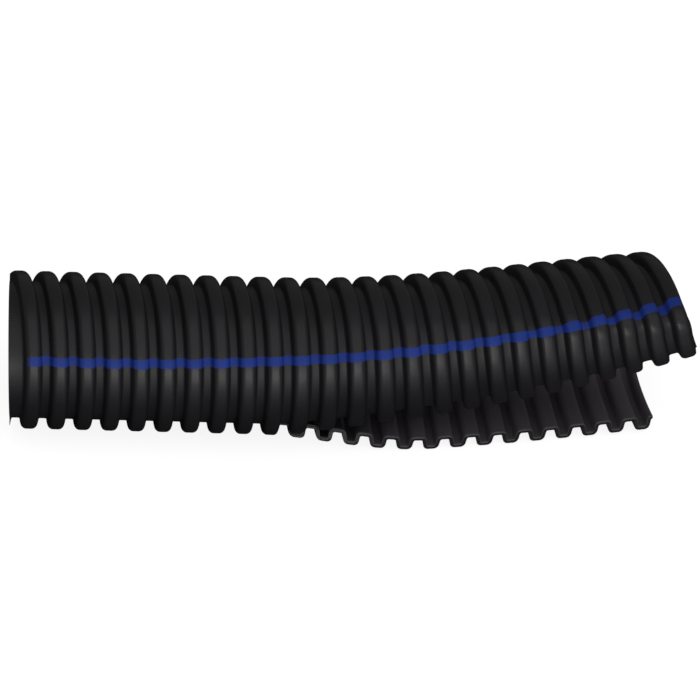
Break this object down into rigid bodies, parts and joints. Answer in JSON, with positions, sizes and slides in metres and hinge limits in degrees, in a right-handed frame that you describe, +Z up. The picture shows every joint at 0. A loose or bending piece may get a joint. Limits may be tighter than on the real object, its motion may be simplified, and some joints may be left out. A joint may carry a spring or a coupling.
{
  "type": "split loom tubing",
  "caption": "Corrugated plastic tube, slit along its length so that cables can be laid in from the side; one end sprung open.",
  "frame": {"origin": "on the bore's axis at the left cut, where the straight part starts", "axes": "+X along the straight part's axis from its left end, +Y away from the viewer, +Z up"},
  "size_m": [0.1041, 0.0339, 0.0234],
  "materials": {
    "black_polyethylene": "satin moulded black polyethylene with a thin blue stripe along it"
  },
  "bodies": {
    "root": {"split_tube": "black_polyethylene"}
  },
  "joints": []
}
